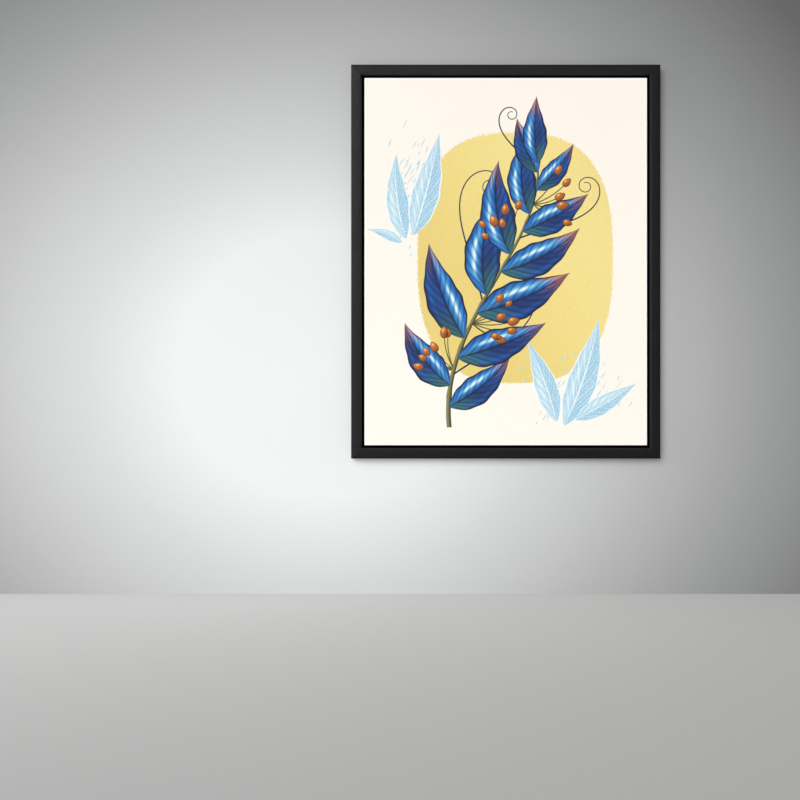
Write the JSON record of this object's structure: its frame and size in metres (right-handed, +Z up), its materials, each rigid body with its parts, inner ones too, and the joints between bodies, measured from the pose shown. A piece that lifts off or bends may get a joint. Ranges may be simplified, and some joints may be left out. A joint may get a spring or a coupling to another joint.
{
  "type": "framed canvas print",
  "caption": "Large printed canvas on a braced wooden stretcher, floating in a deep black frame with a shadow gap, hung by a metal rail on its back.",
  "frame": {"origin": "centre of the face that the hanging rail lays against the wall, near the top of the picture's back", "axes": "+Z up, +Y out of the back towards the wall, +X to the right as seen from the front; the picture faces -Y"},
  "size_m": [1.642, 0.058, 2.092],
  "materials": {
    "frame_black": "satin",
    "stretcher_pine": "matte",
    "key_beech": "matte",
    "canvas_print": "matte",
    "rail_aluminium": "satin",
    "bracket_steel": "satin",
    "screw_steel": "satin",
    "bumper_rubber": "matte"
  },
  "bodies": {
    "root": {"frame_rail_bottom": "frame_black", "frame_rail_left": "frame_black", "frame_rail_top": "frame_black", "frame_rail_right": "frame_black", "frame_ledge_bottom": "frame_black", "frame_ledge_left": "frame_black", "frame_ledge_top": "frame_black", "frame_ledge_right": "frame_black", "stretcher_bar_bottom": "stretcher_pine", "stretcher_bar_left": "stretcher_pine", "stretcher_bar_top": "stretcher_pine", "stretcher_bar_right": "stretcher_pine", "brace_horizontal": "stretcher_pine", "brace_vertical": "stretcher_pine", "corner_key_bottom_left": "key_beech", "corner_key_bottom_right": "key_beech", "corner_key_left_bottom": "key_beech", "corner_key_left_top": "key_beech", "corner_key_top_left": "key_beech", "corner_key_top_right": "key_beech", "corner_key_right_top": "key_beech", "corner_key_right_bottom": "key_beech", "canvas_front": "canvas_print", "canvas_turn_bottom": "canvas_print", "canvas_turn_left": "canvas_print", "canvas_turn_top": "canvas_print", "canvas_turn_right": "canvas_print", "canvas_screw_bottom_1": "screw_steel", "canvas_screw_bottom_2": "screw_steel", "canvas_screw_left_1": "screw_steel", "canvas_screw_left_2": "screw_steel", "canvas_screw_left_3": "screw_steel", "canvas_screw_top_1": "screw_steel", "canvas_screw_top_2": "screw_steel", "canvas_screw_right_1": "screw_steel", "canvas_screw_right_2": "screw_steel", "canvas_screw_right_3": "screw_steel", "hanging_rail": "rail_aluminium", "rail_screw_1": "screw_steel", "rail_screw_2": "screw_steel", "rail_screw_3": "screw_steel", "rail_screw_4": "screw_steel", "corner_bracket_bottom_left": "bracket_steel", "corner_bracket_top_left": "bracket_steel", "corner_bracket_top_right": "bracket_steel", "corner_bracket_bottom_right": "bracket_steel", "bumper_left": "bumper_rubber", "bumper_right": "bumper_rubber"}
  },
  "joints": []
}
